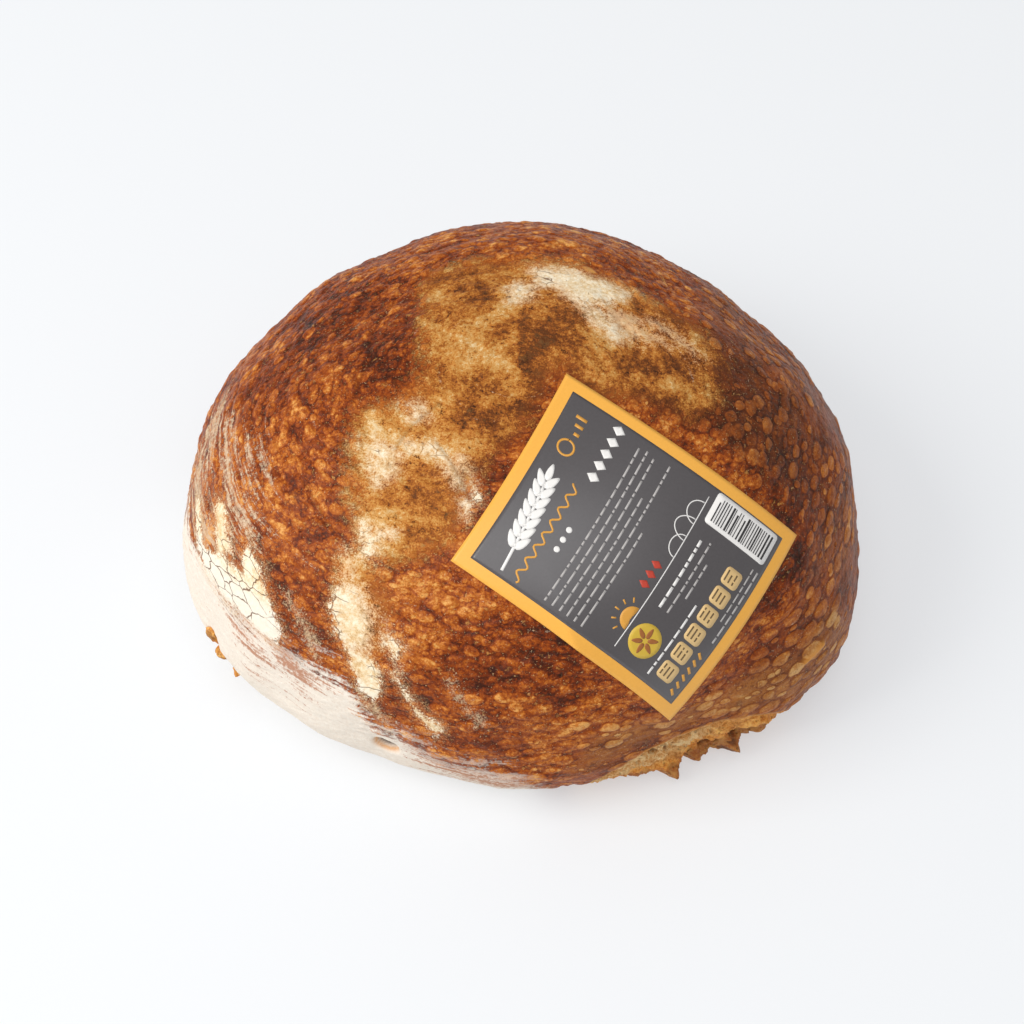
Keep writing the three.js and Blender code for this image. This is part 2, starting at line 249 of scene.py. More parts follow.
def bell(bearing, middle, width):
    off = (bearing - math.radians(middle) + math.pi) % (2.0 * math.pi) - math.pi
    return np.exp(-((off / math.radians(width)) ** 2))


def outline_radius(bearing, z):
    """The plain outline's radius at bearings in radians and heights in mm."""
    waves = 1.0
    for count, share, crest in OUTLINE_WAVES:
        waves = waves + share * np.cos(count * (bearing - math.radians(crest)))
    low = np.exp(-((np.maximum(z - BELLY / 2.0, 0.0) / LOBE_FADE) ** 2))
    lobes = sum(out * bell(bearing, middle, width) for middle, width, out in LOW_LOBES)
    return HALF_WIDTH * waves + lobes * low


def profile(slope):
    """Height, share of the outline's radius and share of the way up the dome, at slopes from the crown."""
    up = np.cos(slope)
    across = np.sin(slope)
    on_dome = slope <= math.pi / 2.0
    share = np.where(on_dome, np.abs(up) ** (2.0 / ROUNDNESS), 0.0)
    z = np.where(on_dome, BELLY + (HEIGHT - BELLY) * share, BELLY * (1.0 + up))
    side = 1.0 - (1.0 - BASE_SHARE) * (1.0 - across)
    return z, np.where(on_dome, np.abs(across) ** (2.0 / ROUNDNESS), side), share


def form_points(bearing, slope):
    """The plain form's points in mm."""
    z, radius_share, share = profile(slope)
    r = outline_radius(bearing, z) * radius_share
    x = r * np.cos(bearing) + CROWN_LEAN[0] * share + MIDDLE[0]
    y = r * np.sin(bearing) + CROWN_LEAN[1] * share + MIDDLE[1]
    return np.stack([x, y, z], -1)


def outside_dome(p):
    """Above zero outside the plain dome, below zero inside it."""
    share = (p[..., 2] - BELLY) / (HEIGHT - BELLY)
    x = p[..., 0] - MIDDLE[0] - CROWN_LEAN[0] * share
    y = p[..., 1] - MIDDLE[1] - CROWN_LEAN[1] * share
    radius = outline_radius(np.arctan2(y, x), p[..., 2])
    return (np.hypot(x, y) / radius) ** ROUNDNESS + np.maximum(share, 0.0) ** ROUNDNESS - 1.0


def dome_normals(p):
    step = 0.1
    slopes = [outside_dome(p + step * axis) - outside_dome(p - step * axis) for axis in np.eye(3)]
    n = np.stack(slopes, -1)
    return n / np.linalg.norm(n, axis=-1, keepdims=True)


def drop_on_dome(start, along):
    """Where lines from the start points along a direction cross the dome."""
    inside = np.full(start.shape[:-1], -DROP_REACH)
    outside = np.full(start.shape[:-1], DROP_REACH)
    for _ in range(DROP_HALVINGS):
        middle = (inside + outside) / 2.0
        within = outside_dome(start + middle[..., None] * along) < 0.0
        inside = np.where(within, middle, inside)
        outside = np.where(within, outside, middle)
    return start + inside[..., None] * along


def label_axes():
    """Out of the paper, along its reading direction, and up it."""
    lean = math.radians(LABEL_LEAN)
    towards = math.radians(LABEL_TOWARDS)
    reading = math.radians(LABEL_READING)
    out = np.array([math.sin(lean) * math.cos(towards), math.sin(lean) * math.sin(towards), math.cos(lean)])
    along = np.array([math.cos(reading), math.sin(reading), 0.0])
    along[2] = -(along @ out) / out[2]
    along /= np.linalg.norm(along)
    return out, along, np.cross(out, along)


LABEL_OUT, LABEL_ALONG, LABEL_UP = label_axes()
LABEL_MIDDLE = drop_on_dome(np.array([LABEL_AT[0], LABEL_AT[1], HEIGHT * 0.8]), np.array([0.0, 0.0, 1.0]))


def beyond_label(p):
    """How far outside the label's edge points of the crust are; under zero below the paper."""
    off = p - LABEL_MIDDLE
    across = np.abs(off @ LABEL_ALONG) - LABEL_WIDTH / 2.0
    along = np.abs(off @ LABEL_UP) - LABEL_HEIGHT / 2.0
    return np.where(off @ LABEL_OUT < -HEIGHT / 2.0, HEIGHT, np.maximum(across, along))


def fold_height(u, v):
    """How high the fold and its sharp crease lift the paper at places on the label."""
    run = np.subtract(FOLD["to"], FOLD["from"])
    length = np.linalg.norm(run)
    run = run / length
    du = u - FOLD["from"][0]
    dv = v - FOLD["from"][1]
    along = du * run[0] + dv * run[1]
    off = du * run[1] - dv * run[0]
    soft = FOLD["height"] * np.exp(-((off / FOLD["width"]) ** 2))
    sharp = CREASE["height"] * np.exp(-np.abs(off / CREASE["width"]))
    return (soft + sharp) * smoothstep(length - along, 0.0, length)


def label_points(u, v, lift):
    """Points of the label, given in its own millimetres from its middle, lifted off the crust."""
    flat = LABEL_MIDDLE + u[..., None] * LABEL_ALONG + v[..., None] * LABEL_UP
    on_crust = drop_on_dome(flat, LABEL_OUT)
    return on_crust + dome_normals(on_crust) * (lift + fold_height(u, v))[..., None]


def swell(p):
    """How far the crust stands off the plain form in its gentle swells."""
    total = np.zeros(p.shape[:-1])
    length = SWELLS["longest"]
    height = SWELLS["height"]
    for i in range(SWELLS["count"]):
        rise = 1.0 - (2 * i + 1) / SWELLS["count"]
        flat = math.sqrt(1.0 - rise * rise)
        turn = i * GOLDEN_ANGLE
        along = p[..., 0] * flat * math.cos(turn) + p[..., 1] * flat * math.sin(turn) + p[..., 2] * rise
        total += height * np.sin(2.0 * math.pi * along / length + turn)
        length *= SWELLS["shorter"]
        height *= SWELLS["lower"]
    return total


def tear_open(bearing):
    """How open the tear is at a bearing, from 0 at its ends."""
    share = (np.degrees(bearing) - TEAR["from"]) / (TEAR["to"] - TEAR["from"])
    return np.sqrt(np.sin(math.pi * np.clip(share, 0.0, 1.0)))


def grid_quads(index):
    """The quads between the points of a grid, given by their indices."""
    return np.stack([index[:-1, :-1], index[1:, :-1], index[1:, 1:], index[:-1, 1:]], -1).reshape(-1, 4)


def ball_grid(steps):
    """Directions and quads of a cube drawn out to a ball."""
    ticks = np.tan(np.linspace(-math.pi / 4.0, math.pi / 4.0, steps + 1))
    a, b = np.meshgrid(ticks, ticks, indexing="ij")
    one = np.ones_like(a)
    sides = [(a, b, one), (b, a, -one), (one, a, b), (-one, b, a), (b, one, a), (a, -one, b)]
    corners = np.concatenate([np.stack(side, -1).reshape(-1, 3) for side in sides])
    directions = corners / np.linalg.norm(corners, axis=1, keepdims=True)
    index = np.arange((steps + 1) ** 2).reshape(steps + 1, steps + 1)
    quad = grid_quads(index)
    quads = np.concatenate([quad + side * index.size for side in range(6)])
    _, first, shared = np.unique(np.round(directions, 6), axis=0, return_index=True, return_inverse=True)
    return directions[first], shared.reshape(-1)[quads]


def crust_places(directions):
    """Bearing, slope, distance along the crust from the crown, and share of the way in under the base."""
    slopes = np.linspace(0.0, math.pi, 1441)
    z, radius_share, _ = profile(slopes)
    r = HALF_WIDTH * radius_share
    arc = np.concatenate([[0.0], np.cumsum(np.hypot(np.diff(r), np.diff(z)))])
    under = np.linspace(0.0, 1.0, 201)[1:]
    r_all = np.concatenate([r, r[-1] * (1.0 - under)])
    arc_all = np.concatenate([arc, arc[-1] + r[-1] * under])
    weight = np.concatenate([np.ones(len(slopes)), np.full(len(under), BASE_WEIGHT)])
    rings = weight[1:] * (r_all[1:] + r_all[:-1]) / 2.0 * np.diff(arc_all)
    area = np.concatenate([[0.0], np.cumsum(rings)])
    wanted = area[-1] * (1.0 - np.clip(directions[:, 2], -1.0, 1.0)) / 2.0
    bearing = np.arctan2(directions[:, 1], directions[:, 0])
    place = np.interp(wanted, area, arc_all)
    slope = np.interp(place, arc, slopes)
    inwards = np.clip((place - arc[-1]) / r[-1], 0.0, 1.0)
    return bearing, slope, place, inwards


def crust_points(bearing, slope, inwards):
    """The crust without its fine relief: the plain form, its swells, the tear's recess and the flat base."""
    p = form_points(bearing, slope)
    out = np.stack([p[:, 0] - MIDDLE[0], p[:, 1] - MIDDLE[1], np.zeros(len(p))], -1)
    out /= np.linalg.norm(out, axis=1, keepdims=True) + 1e-9
    rounding = np.minimum(slope, math.pi / 2.0)
    out = out * np.sin(rounding)[:, None]
    out[:, 2] = np.cos(rounding)
    sides = 1.0 - smoothstep(np.degrees(slope), 120.0, 170.0)
    smooth = smoothstep(beyond_label(p), 0.0, SMOOTH_BORDER)
    p += out * (swell(p) * sides * smooth)[:, None]
    centre = np.array([MIDDLE[0], MIDDLE[1], 0.0])
    return p + (centre - p) * inwards[:, None] * (slope >= math.pi - 1e-6)[:, None]


def polygon_depth(points, polygons):
    """How deep inside the nearest of several outlines points lie; negative outside."""
    best = np.full(len(points), -1e9)
    for polygon in polygons:
        corners = np.array(polygon, float)
        inside = np.zeros(len(points), bool)
        nearest = np.full(len(points), 1e9)
        for a, b in zip(corners, np.roll(corners, -1, axis=0)):
            edge = b - a
            off = points - a
            share = np.clip((off @ edge) / (edge @ edge), 0.0, 1.0)
            nearest = np.minimum(nearest, np.linalg.norm(off - share[:, None] * edge, axis=1))
            crosses = (a[1] > points[:, 1]) != (b[1] > points[:, 1])
            rise = edge[1] if edge[1] else 1e-9
            inside ^= crosses & (points[:, 0] < edge[0] * (points[:, 1] - a[1]) / rise + a[0])
        best = np.maximum(best, np.where(inside, nearest, -nearest))
    return best


def noise_at(points, size, octaves=3, seed=0.0):
    """Fractal noise about zero, with features of a size in mm."""
    shift = Vector((seed * 17.3, seed * 5.1, seed * 9.7))
    scaled = points / size
    return np.array([noise.fractal(Vector(p) + shift, 0.9, 2.0, octaves) for p in scaled])


def mesh_object(name, points_mm, faces):
    """A smooth mesh from points in mm and faces, all linked to the scene; faces may differ in length."""
    mesh = bpy.data.meshes.new(name)
    faces = faces.tolist() if isinstance(faces, np.ndarray) else faces
    mesh.from_pydata((np.asarray(points_mm) * MM).tolist(), [], faces)
    mesh.update()
    mesh.shade_smooth()
    piece = bpy.data.objects.new(name, mesh)
    bpy.context.scene.collection.objects.link(piece)
    return piece


def set_attribute(mesh, name, values):
    attribute = mesh.attributes.new(name, "FLOAT", "POINT")
    attribute.data.foreach_set("value", np.asarray(values, np.float32))


def line_distance(points, lines):
    """How far points lie from the nearest of several lines."""
    nearest = np.full(len(points), 1e9)
    for line in lines:
        corners = np.array(line, float)
        for a, b in zip(corners[:-1], corners[1:]):
            edge = b - a
            share = np.clip(((points - a) @ edge) / (edge @ edge), 0.0, 1.0)
            nearest = np.minimum(nearest, np.linalg.norm(points - a - share[:, None] * edge, axis=1))
    return nearest


def flow_places(arc, bearing):
    """Places in a space where the crust's marks are even, so that they are drawn out round its sides."""
    girth = FLOW_GIRTH * np.tanh(arc / FLOW_GIRTH)
    return np.stack([arc, girth * np.cos(bearing), girth * np.sin(bearing)], -1)


def outwards(bearing):
    return np.stack([np.cos(bearing), np.sin(bearing), np.zeros_like(bearing)], -1)


def side_points(bearing, z):
    """The plain form's points at bearings and heights no higher than just above the belly."""
    slope = np.arccos(np.clip(z / BELLY - 1.0, -1.0, 0.0))
    side = form_points(bearing, slope)
    side[..., 2] = z
    return side


def tear_shift(bearing, z):
    """How far the tear puts the side out at a height: in under its lip, and out at its foot."""
    opened = tear_open(bearing)
    under = TEAR["under"] * smoothstep(TEAR["lip"] * opened - z, 0.0, 3.0)
    foot = TEAR["spread"] * np.maximum(1.0 - z / TEAR["spread_height"], 0.0) ** 1.6
    return opened * (foot - under)


def blister_relief(flow, density, calm):
    """Each point's place in its nearest blister, 1 at the top and 0 at the edge, its tone and its height."""
    draw = np.random.default_rng(BLISTER_SEED)
    pushed = flow + BLISTER_PUSH * np.stack([noise_at(flow, 2.4, 2, 11.0 + k) for k in range(3)], -1)
    tree = kdtree.KDTree(len(pushed))
    for i, p in enumerate(pushed.tolist()):
        tree.insert(p, i)
    tree.balance()
    tries = draw.integers(0, len(pushed), BLISTER_TRIES)
    tries = tries[draw.random(len(tries)) < density[tries]]
    size = draw.random(len(tries))
    radii = BLISTERS["smallest"] + (BLISTERS["largest"] - BLISTERS["smallest"]) * size ** BLISTERS["bias"]
    wider = CALM_BLISTERS["largest"] - CALM_BLISTERS["smallest"]
    calm_radii = CALM_BLISTERS["smallest"] + wider * size ** CALM_BLISTERS["bias"]
    radii = np.where(calm[tries] > 0.5, calm_radii, radii)
    place = np.full(len(pushed), -9.0)
    tone = np.full(len(pushed), 0.5)
    height = np.zeros(len(pushed))
    for k in np.argsort(-radii):
        centre = tries[k]
        apart = BLISTERS["apart"] + (CALM_BLISTERS["apart"] - BLISTERS["apart"]) * calm[centre]
        if place[centre] > 1.0 - apart ** 2:
            continue
        radius = radii[k]
        found = tree.find_range(pushed[centre].tolist(), radius * (apart + 0.2))
        near = np.array([i for _, i, _ in found])
        own = 1.0 - (np.array([d for _, _, d in found]) / radius) ** 2
        better = own > place[near]
        place[near[better]] = own[better]
        tone[near[better]] = draw.random()
        top = BLISTER_HEIGHT * (0.35 + 0.65 * radius / BLISTERS["largest"]) * (0.7 + 0.6 * draw.random())
        height[near] = np.maximum(height[near], top * np.clip(own, 0.0, 1.0) ** 0.7)
    return np.maximum(place, -1.0), tone, height


def face_normals(points, quads):
    """Smooth normals of a closed mesh of quads."""
    across = np.cross(points[quads[:, 2]] - points[quads[:, 0]], points[quads[:, 3]] - points[quads[:, 1]])
    at = quads.reshape(-1)
    sums = [np.bincount(at, np.repeat(across[:, k], 4), len(points)) for k in range(3)]
    normals = np.stack(sums, -1)
    return normals / (np.linalg.norm(normals, axis=1, keepdims=True) + 1e-12)


def make_crust():
    """The whole crust as one mesh cut into six pieces, with its flour and browning, painted shade and painted
    highlights as attributes.
    """
    directions, quads = ball_grid(CRUST_STEPS)
    bearing, slope, arc, inwards = crust_places(directions)
    points = crust_points(bearing, slope, inwards)
    normals = face_normals(points, quads)
    on_map = np.stack([arc * np.cos(bearing), arc * np.sin(bearing)], -1)
    flow = flow_places(arc, bearing)
    clear = smoothstep(beyond_label(points), -0.5, 4.0)
    low = 1.0 - smoothstep(np.degrees(slope), 140.0, 172.0)
    depths = {name: polygon_depth(on_map, patches) for name, patches in ZONES}
    crease = line_distance(on_map, CREASES)
    ridge = line_distance(on_map, RIDGES)

    # Blisters, where flour doesn't cover them
    calm = np.maximum(smoothstep(depths["plain"], -3.0, 3.0), 0.75 * smoothstep(depths["shade"], -6.0, 6.0))
    floured = np.maximum(smoothstep(depths["flour"], -3.0, 1.0), smoothstep(depths["flank"], -4.0, 3.0))
    patchy = noise_at(flow, 12.0, 3, 9.0)
    density = 0.45 + 1.0 * patchy + 0.25 * smoothstep(depths["ember"], -5.0, 5.0)
    density = np.clip(density, 0.1, 1.0) * (1.0 - 0.9 * smoothstep(depths["dust"], -3.0, 5.0))
    density *= (1.0 - floured) * (1.0 - 0.78 * calm)
    place, tone, height = blister_relief(flow, density * low * (clear > 0.2), calm)
    lumps = sum(high * noise_at(flow, size, 3, 1.0 + k) for k, (size, high) in enumerate(LUMPS))
    grain = GRAIN[1] * noise_at(flow, GRAIN[0], 3, 3.0)
    relief = lumps * (0.3 + 0.7 * clear) * (1.0 - 0.4 * floured) * (1.0 - 0.5 * calm)
    relief += grain - RELIEF_SINK + height
    relief += FLOUR_HEIGHT * smoothstep(depths["flour"], -0.5, 1.5) * clear
    relief += RIDGE_HEIGHT * np.exp(-((ridge / 1.3) ** 2))
    relief -= CREASE_DEPTH * np.exp(-((crease / 0.8) ** 2)) * clear
    points += normals * (relief * clear * low)[:, None]

    # The tear's recess, and the burst bubbles
    opened = tear_open(bearing)
    below = opened * smoothstep(TEAR["lip"] * opened - points[:, 2], -0.6, 1.4)
    side = smoothstep(points[:, 2], 0.0, 0.6)
    inwards_by = (CRUMB["sink"] * below - CRUMB["share"] * tear_shift(bearing, points[:, 2])) * side
    hollow = np.zeros(len(points))
    for middle, rise, width, tall, depth in HOLLOWS:
        off = (bearing - math.radians(middle) + math.pi) % (2.0 * math.pi) - math.pi
        across = off * np.hypot(points[:, 0], points[:, 1]) / width
        inside = np.exp(-((across ** 2 + ((points[:, 2] - rise) / tall) ** 2) ** 1.6))
        hollow = np.maximum(hollow, inside)
        inwards_by += depth * inside
    points -= outwards(bearing) * inwards_by[:, None]
    low_corner, high_corner = (np.array(corner) / MM for corner in CAD_BOX)
    points = np.clip(points, low_corner, high_corner)
    normals = face_normals(points, quads)

    # Painted highlight: an amber line along the tear's lip
    lip = np.exp(-(((points[:, 2] - TEAR["lip"] * opened - 0.3) / 0.7) ** 2)) * smoothstep(opened, 0.3, 0.75)
    fields = {name: np.clip(depth / ZONE_DEPTH, -1.0, 1.0) for name, depth in depths.items()}
    fields["blister"] = place
    fields["tone"] = tone
    fields["lump"] = lumps
    fields["calm"] = calm
    fields["under"] = smoothstep(np.degrees(slope), 150.0, 178.0)
    # Painted highlight also round the hollows' rims and along the raised seams
    rim = 0.9 * np.exp(-(((hollow - 0.25) / 0.12) ** 2))
    fields["lip"] = np.maximum(np.maximum(lip, rim), np.exp(-((ridge / 1.1) ** 2)))
    # Painted shade: darker along the pressed lines and inside the burst hollows
    fields["pressed"] = np.maximum(0.3 * np.exp(-((crease / 0.5) ** 2)), smoothstep(hollow, 0.4, 0.65))
    return cut_crust(points, quads, normals, flow, fields)


def cut_crust(points, quads, normals, flow, fields):
    """The crust's six sides as pieces that share their edges' normals, so that no seam shows."""
    pieces = []
    for k, side in enumerate(CRUST_SIDES):
        own = quads[k * CRUST_STEPS ** 2:(k + 1) * CRUST_STEPS ** 2]
        used, faces = np.unique(own, return_inverse=True)
        piece = mesh_object("crust_" + side, points[used], faces.reshape(-1, 4))
        mesh = piece.data
        for name, values in fields.items():
            set_attribute(mesh, name, values[used])
        attribute = mesh.attributes.new("flow", "FLOAT_VECTOR", "POINT")
        attribute.data.foreach_set("vector", (flow[used] * MM).astype(np.float32).reshape(-1))
        mesh.normals_split_custom_set_from_vertices(normals[used].tolist())
        pieces.append(piece)
    return pieces


def tip_profile(bearing):
    """How far the skirt's ragged edge stands out and how high it lies, at bearings in radians."""
    degrees = np.degrees(bearing)
    along = np.stack([degrees * 1.6, np.zeros_like(degrees), np.zeros_like(degrees)], -1)
    reach = np.full(len(bearing), 0.8)
    height = np.full(len(bearing), 2.6)
    for middle, out, width, rise in TIPS:
        off = (degrees - middle) / width
        peak = np.exp(-1.1 * np.abs(off + 0.15 * np.sin(2.5 * off)) ** 1.8)
        reach = np.maximum(reach, out * peak)
        height += (rise - 2.6) * peak
    reach += 0.9 * noise_at(along, 7.0, 2, 5.0) + 0.35 * noise_at(along, 2.4, 2, 6.0)
    height += 1.2 * noise_at(along, 6.0, 2, 7.0)
    return np.maximum(reach, 0.0), np.maximum(height, 1.5)


def make_crumb():
    """The torn crumb in the tear's recess: a closed strip with pits, and a ragged skirt at its foot."""
    count = CRUMB["across"]
    down = CRUMB["down"]
    draw = np.random.default_rng(CRUMB["seed"])
    bearing = np.radians(np.linspace(CRUMB["from"], CRUMB["to"], count))
    opened = np.sqrt(np.sin(math.pi * np.linspace(0.0, 1.0, count)))
    lip = np.maximum(TEAR["lip"] * tear_open(bearing), 3.5)
    reach, tip_height = tip_profile(bearing)
    reach = reach * opened
    tip_height = np.minimum(tip_height, lip)
    share = np.linspace(0.0, 1.0, down)[:, None]
    z = lip + 0.7 + (tip_height - lip - 0.7) * share
    length = CRUMB_RADIUS * (bearing - bearing[0])
    on_face = np.stack([np.broadcast_to(length, z.shape), z, np.zeros_like(z)], -1).reshape(-1, 3)
    rough = 1.5 * noise_at(on_face, 6.5, 3, 6.0) + 0.8 * noise_at(on_face, 2.2, 4, 7.0)
    torn = np.abs(noise_at(on_face * (1.0, 1.8, 1.0), 5.0, 3, 8.0)).reshape(z.shape)
    pit = np.zeros(len(on_face))
    for _ in range(CRUMB_PITS["count"]):
        size = CRUMB_PITS["smallest"] + (CRUMB_PITS["largest"] - CRUMB_PITS["smallest"]) * draw.random() ** 3
        middle = np.array([length[-1] * draw.random(), 3.0 + 22.0 * draw.random()])
        squash = 0.5 + 0.5 * draw.random()
        off = (on_face[:, :2] - middle) / (size, size * squash)
        pit = np.maximum(pit, smoothstep(1.25 - np.hypot(off[:, 0], off[:, 1]), 0.0, 0.7) * min(size, 1.3))
    hidden = 1.0 - smoothstep(share, 0.0, 0.08)
    out = CRUMB["share"] * tear_shift(bearing[None, :], z) - 0.9 - 1.4 * (1.0 - smoothstep(share, 0.0, 0.1))
    ledge_at = 0.5 + 0.06 * np.sin(length / 3.7)
    ledge = 1.6 * np.exp(-(((share - ledge_at) / 0.1) ** 2)) * (0.4 + np.sin(length / 5.3) ** 2)
    billow = 0.45 - np.abs(noise_at(on_face * (1.0, 0.6, 1.0), 7.0, 2, 9.0)).reshape(z.shape)
    folds = 2.2 * billow * smoothstep(share, 0.35, 0.6)
    out = out + (ledge + folds) * opened + reach * smoothstep(share, 0.55, 1.0) ** 1.4
    pit = pit.reshape(z.shape)
    out = out + (rough.reshape(z.shape) - 1.1 * pit - 0.9 * torn + 0.3) * opened * (1.0 - hidden)

    # The skirt's lower face and the strip's hidden back
    back_share = np.linspace(0.0, 1.0, 9)[1:, None]
    low_z = (tip_height - 0.9) * (1.0 - back_share) + 0.25 * back_share
    low_out = out[-1] - 0.35 - (out[-1] + 7.0) * back_share
    rear_z = 0.25 + (lip + 0.4) * np.linspace(0.0, 1.0, 6)[1:, None]
    rear_out = np.full(rear_z.shape, -CRUMB_BACK)
    z_loop = np.concatenate([z, np.maximum(low_z, 0.2), rear_z])
    out_loop = np.concatenate([out, low_out, np.broadcast_to(rear_out, rear_z.shape)])
    around = np.broadcast_to(bearing, z_loop.shape)
    points = side_points(around, z_loop) + outwards(around) * out_loop[..., None]
    rows = len(z_loop)
    index = np.arange(rows * count).reshape(rows, count)
    wrapped = np.concatenate([index, index[:1]])
    faces = grid_quads(wrapped).tolist() + [index[:, 0][::-1].tolist(), index[:, -1].tolist()]
    piece = mesh_object("torn_crumb", points.reshape(-1, 3), faces)
    toasted = np.zeros(z_loop.shape)
    amber = 0.5 * smoothstep(np.degrees(bearing), -62.0, -50.0)
    tips = reach / 9.0 * smoothstep(share, 0.7, 1.0)
    toasted[:down] = np.clip(0.7 * smoothstep(share, 0.45, 1.0) + tips + amber, 0.0, 1.0)
    toasted[down:] = 0.8
    # Painted shade: the pits are darker
    deep = np.zeros(z_loop.shape)
    deep[:down] = np.clip(pit / 1.2, 0.0, 1.0)
    set_attribute(piece.data, "toasted", toasted.reshape(-1))
    set_attribute(piece.data, "pit", deep.reshape(-1))
    return piece


def make_curls():
    """Torn curls of crust at the left side's foot: closed lumps with folded surfaces, in one mesh."""
    directions, quads = ball_grid(14)
    points = []
    faces = []
    for k, (degrees, height, reach, width, tall) in enumerate(CURLS):
        bearing = math.radians(degrees)
        c, s = math.cos(bearing), math.sin(bearing)
        axes = np.array([[c, s, 0.0], [-s, c, 0.0], [0.0, 0.0, 1.0]])
        folded = 1.0 + 0.42 * noise_at(directions, 1.1, 2, 20.0 + k)
        folded += 0.14 * np.sin(5.0 * directions[:, 2] + k)
        middle = side_points(np.array([bearing]), np.array([height]))[0] - CURL_SINK * reach * axes[0]
        lump = (directions * folded[:, None] * (reach, width, tall)) @ axes + middle
        lump += 0.45 * np.stack([noise_at(lump, 2.4, 2, 30.0 + axis) for axis in range(3)], -1)
        points.append(lump)
        faces.append(quads + k * len(directions))
    points = np.concatenate(points)
    points[:, 2] = np.maximum(points[:, 2], 0.3)
    piece = mesh_object("torn_curls", points, np.concatenate(faces))
    set_attribute(piece.data, "toasted", np.clip(0.56 + 0.3 * noise_at(points, 3.0, 2, 40.0), 0.0, 1.0))
    # Dark patches on the curls: painted shade
    set_attribute(piece.data, "pit", np.clip(1.6 * noise_at(points, 2.2, 2, 41.0), 0.0, 0.7))
    return piece


def linear(hexcode):
    """A colour written as on a screen, as the shader's linear colour."""
    shares = [int(hexcode[i:i + 2], 16) / 255.0 for i in (1, 3, 5)]
    return [c / 12.92 if c <= 0.04045 else ((c + 0.055) / 1.055) ** 2.4 for c in shares] + [1.0]


class Graph:
    """A material's nodes. Each helper returns the socket that it makes; sizes and depths are in mm."""

    def __init__(self, name):
        self.material = bpy.data.materials.new(name)
        self.material.use_nodes = True
        self.tree = self.material.node_tree
        self.tree.nodes.clear()
        self.output = self.tree.nodes.new("ShaderNodeOutputMaterial")
        self.shader = self.tree.nodes.new("ShaderNodeBsdfPrincipled")
        self.tree.links.new(self.shader.outputs[0], self.output.inputs[0])
        self.place = self.tree.nodes.new("ShaderNodeTexCoord").outputs["Object"]

    def feed(self, socket, value):
        """Give a socket another socket's value, a colour written as on a screen, or a number."""
        if isinstance(value, bpy.types.NodeSocket):
            self.tree.links.new(value, socket)
        elif isinstance(value, str):
            socket.default_value = linear(value)
        else:
            socket.default_value = value

    def attribute(self, name, output="Fac"):
        node = self.tree.nodes.new("ShaderNodeAttribute")
        node.attribute_name = name
        return node.outputs[output]

    def noise(self, size, detail=4.0, rough=0.55, place=None, output="Fac"):
        node = self.tree.nodes.new("ShaderNodeTexNoise")
        self.feed(node.inputs["Vector"], place or self.place)
        node.inputs["Scale"].default_value = 1.0 / (size * MM)
        node.inputs["Detail"].default_value = detail
        node.inputs["Roughness"].default_value = rough
        return node.outputs[output]

    def cells(self, size, place=None, feature="F1"):
        """The distance to a cell's middle or edge, in cells."""
        node = self.tree.nodes.new("ShaderNodeTexVoronoi")
        node.feature = feature
        self.feed(node.inputs["Vector"], place or self.place)
        node.inputs["Scale"].default_value = 1.0 / (size * MM)
        return node.outputs["Distance"]

    def warp(self, place, size, amount):
        """A place pushed about by noise."""
        node = self.tree.nodes.new("ShaderNodeVectorMath")
        node.operation = "MULTIPLY_ADD"
        self.feed(node.inputs[0], self.noise(size, 2.0, 0.5, place, "Color"))
        node.inputs[1].default_value = (2.0 * amount * MM,) * 3
        self.feed(node.inputs[2], place)
        return node.outputs[0]

    def scaled(self, place, factors):
        node = self.tree.nodes.new("ShaderNodeVectorMath")
        node.operation = "MULTIPLY"
        self.feed(node.inputs[0], place)
        node.inputs[1].default_value = factors
        return node.outputs[0]

    def math(self, operation, a, b):
        node = self.tree.nodes.new("ShaderNodeMath")
        node.operation = operation
        self.feed(node.inputs[0], a)
        self.feed(node.inputs[1], b)
        return node.outputs[0]

    def times(self, a, b):
        return self.math("MULTIPLY", a, b)

    def most(self, a, b):
        return self.math("MAXIMUM", a, b)

    def add(self, *terms):
        """The sum of terms, each a socket or a pair of a socket and its weight."""
        total = None
        for term in terms:
            value = self.times(*term) if isinstance(term, tuple) else term
            total = value if total is None else self.math("ADD", total, value)
        return total

    def step(self, value, low, high, to_low=0.0, to_high=1.0):
        """A smooth step of a value from one level to another."""
        node = self.tree.nodes.new("ShaderNodeMapRange")
        node.interpolation_type = "SMOOTHSTEP"
        names = ("Value", "From Min", "From Max", "To Min", "To Max")
        for name, given in zip(names, (value, low, high, to_low, to_high)):
            self.feed(node.inputs[name], given)
        return node.outputs[0]

    def ramp(self, factor, *stops):
        node = self.tree.nodes.new("ShaderNodeValToRGB")
        elements = node.color_ramp.elements
        while len(elements) < len(stops):
            elements.new(0.5)
        for element, (place, colour) in zip(elements, stops):
            element.position = place
            element.color = linear(colour)
        self.feed(node.inputs[0], factor)
        return node.outputs[0]

    def mix(self, factor, a, b):
        node = self.tree.nodes.new("ShaderNodeMix")
        node.data_type = "RGBA"
        self.feed(node.inputs[0], factor)
        self.feed(node.inputs[6], a)
        self.feed(node.inputs[7], b)
        return node.outputs[2]

    def over(self, under, cover, share, paint):
        """A colour painted over another, where its cover is, at a share of full strength."""
        return self.mix(self.times(cover, share), under, paint)

    def bump(self, height):
        """Relief from a height in mm."""
        node = self.tree.nodes.new("ShaderNodeBump")
        node.inputs["Strength"].default_value = 1.0
        node.inputs["Distance"].default_value = MM
        self.feed(node.inputs["Height"], height)
        self.feed(self.shader.inputs["Normal"], node.outputs[0])

    def finish(self, colour, roughness):
        self.feed(self.shader.inputs["Base Color"], colour)
        self.feed(self.shader.inputs["Roughness"], roughness)
        return self.material


